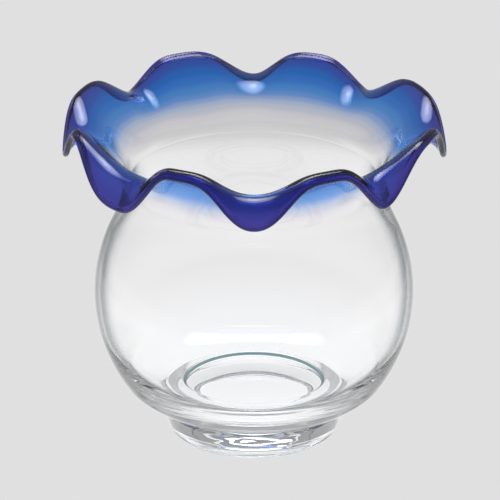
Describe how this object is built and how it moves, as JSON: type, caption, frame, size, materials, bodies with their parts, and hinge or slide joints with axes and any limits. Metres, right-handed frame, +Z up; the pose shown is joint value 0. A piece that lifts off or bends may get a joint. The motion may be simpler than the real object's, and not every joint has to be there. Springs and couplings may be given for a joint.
{
  "type": "ruffled art glass bowl",
  "caption": "Clear footed glass globe bowl with a flared, ruffled collar that shades from clear at the neck to cobalt blue at the lip.",
  "frame": {"origin": "centre of the foot's underside, on the bowl's axis", "axes": "+Z up along the bowl's axis, -Y to the front, where a dip of the rim faces forwards"},
  "size_m": [0.1905, 0.191, 0.1715],
  "materials": {
    "clear_glass": "fire-polished clear",
    "foot_glass": "clear, ground underneath",
    "blue_glass": "fire-polished, blue fading to clear",
    "cobalt_glass": "fire-polished deep cobalt"
  },
  "bodies": {
    "root": {"globe_body": "clear_glass", "foot_disc": "foot_glass", "ruffled_collar": "blue_glass", "lip_wrap": "cobalt_glass"}
  },
  "joints": []
}
